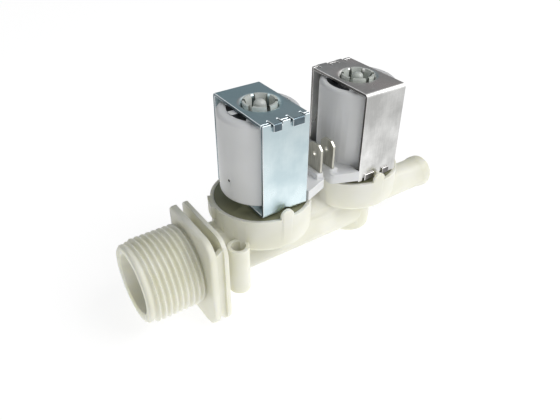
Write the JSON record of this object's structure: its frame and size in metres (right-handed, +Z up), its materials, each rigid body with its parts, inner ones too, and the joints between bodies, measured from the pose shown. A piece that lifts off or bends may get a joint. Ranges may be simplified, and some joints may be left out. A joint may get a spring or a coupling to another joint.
{
  "type": "dishwasher solenoid valve",
  "caption": "Dishwasher inlet solenoid valve: threaded inlet, panel flanges, diaphragm chambers under yoked coils with tab terminals, and a plain hose spigot outlet.",
  "frame": {"origin": "centre of the inlet's open end face, on the thread's axis", "axes": "+X along the flow from inlet to outlet, +Z up through the coils"},
  "size_m": [0.1219, 0.0326, 0.0643],
  "materials": {
    "body_plastic": "moulded satin",
    "strainer_plastic": "moulded satin",
    "guide_plastic": "moulded satin",
    "insert_plastic": "moulded satin",
    "coil_plastic": "moulded semi gloss",
    "bobbin_plastic": "moulded satin",
    "rubber": "moulded matt",
    "plunger_steel": "ground",
    "spring_steel": "drawn",
    "copper_wire": "enamelled",
    "tinned_tab": "tin plated",
    "zinc_steel": "zinc plated"
  },
  "bodies": {
    "valve": {"valve_body": "body_plastic", "inlet_strainer": "strainer_plastic", "regulator_holder": "strainer_plastic", "flow_regulator": "rubber", "guide_tube_cover_1": "guide_plastic", "diaphragm_1": "rubber", "plunger_spring_1": "spring_steel", "coil_cover_1": "coil_plastic", "coil_bobbin_1": "bobbin_plastic", "coil_winding_1": "copper_wire", "terminal_tab_front_1": "tinned_tab", "terminal_tab_rear_1": "tinned_tab", "yoke_upper_1": "zinc_steel", "yoke_lower_1": "zinc_steel", "guide_tube_cover_2": "guide_plastic", "diaphragm_2": "rubber", "plunger_spring_2": "spring_steel", "coil_cover_2": "coil_plastic", "coil_bobbin_2": "bobbin_plastic", "coil_winding_2": "copper_wire", "terminal_tab_front_2": "tinned_tab", "terminal_tab_rear_2": "tinned_tab", "yoke_upper_2": "zinc_steel", "yoke_lower_2": "zinc_steel"},
    "plunger_1": {"plunger_1": "plunger_steel", "plunger_seal_1": "rubber"},
    "plunger_2": {"plunger_2": "plunger_steel", "plunger_seal_2": "rubber"},
    "insert_1": {"diaphragm_insert_1": "insert_plastic"},
    "insert_2": {"diaphragm_insert_2": "insert_plastic"}
  },
  "joints": [
    {"name": "plunger_lift_1", "type": "slide", "parent": "valve", "child": "plunger_1", "axis": [0, 0, 1], "range_m": [0, 0.0033], "stiffness_N_per_m": 150, "springref_m": -0.002, "deforming": ["plunger_spring_1"]},
    {"name": "diaphragm_lift_1", "type": "slide", "parent": "valve", "child": "insert_1", "axis": [0, 0, 1], "range_m": [0, 0.0022], "deforming": ["diaphragm_1"]},
    {"name": "plunger_lift_2", "type": "slide", "parent": "valve", "child": "plunger_2", "axis": [0, 0, 1], "range_m": [0, 0.0033], "stiffness_N_per_m": 150, "springref_m": -0.002, "deforming": ["plunger_spring_2"]},
    {"name": "diaphragm_lift_2", "type": "slide", "parent": "valve", "child": "insert_2", "axis": [0, 0, 1], "range_m": [0, 0.0022], "deforming": ["diaphragm_2"]}
  ],
  "couplings": [
    {"joint": "diaphragm_lift_1", "follows": "plunger_lift_1", "ratio": 0.6667},
    {"joint": "diaphragm_lift_2", "follows": "plunger_lift_2", "ratio": 0.6667}
  ]
}
